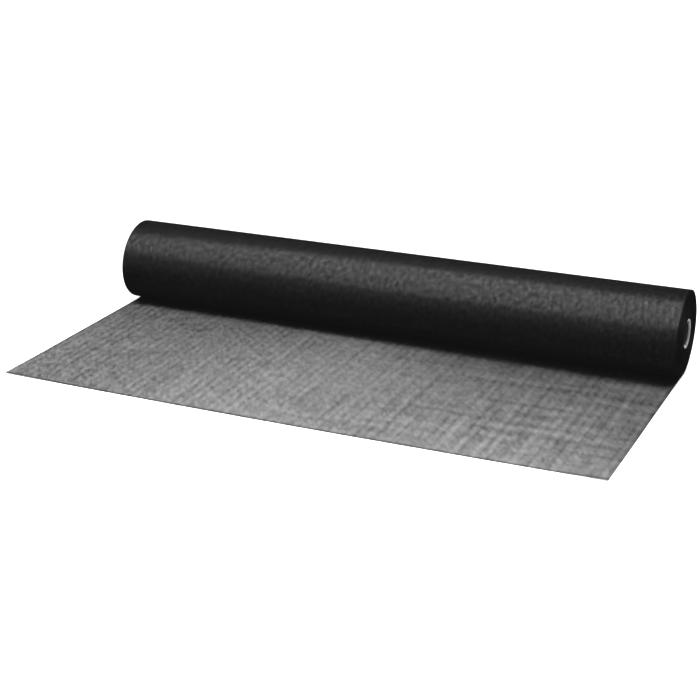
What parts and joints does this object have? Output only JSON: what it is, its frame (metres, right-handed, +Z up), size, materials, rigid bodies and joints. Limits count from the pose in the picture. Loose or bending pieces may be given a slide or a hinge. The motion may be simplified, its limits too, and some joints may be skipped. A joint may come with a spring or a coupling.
{
  "type": "roll of solar screen mesh",
  "caption": "Roll of black open-weave screen cloth on a board tube, its free end drawn out flat on the floor; cut to length to cover a window or a shade frame.",
  "frame": {"origin": "on the floor, under the middle of the whole part, roll and free end together", "axes": "+Z up, X along the roll, and -Y towards the cut edge of the free end"},
  "size_m": [1.2262, 0.6096, 0.1719],
  "materials": {
    "screen_mesh": "coated yarn, open weave, low sheen",
    "core_board": "dry grey board"
  },
  "bodies": {
    "root": {"wound_mesh": "screen_mesh", "loose_end": "screen_mesh", "board_core": "core_board"}
  },
  "joints": []
}
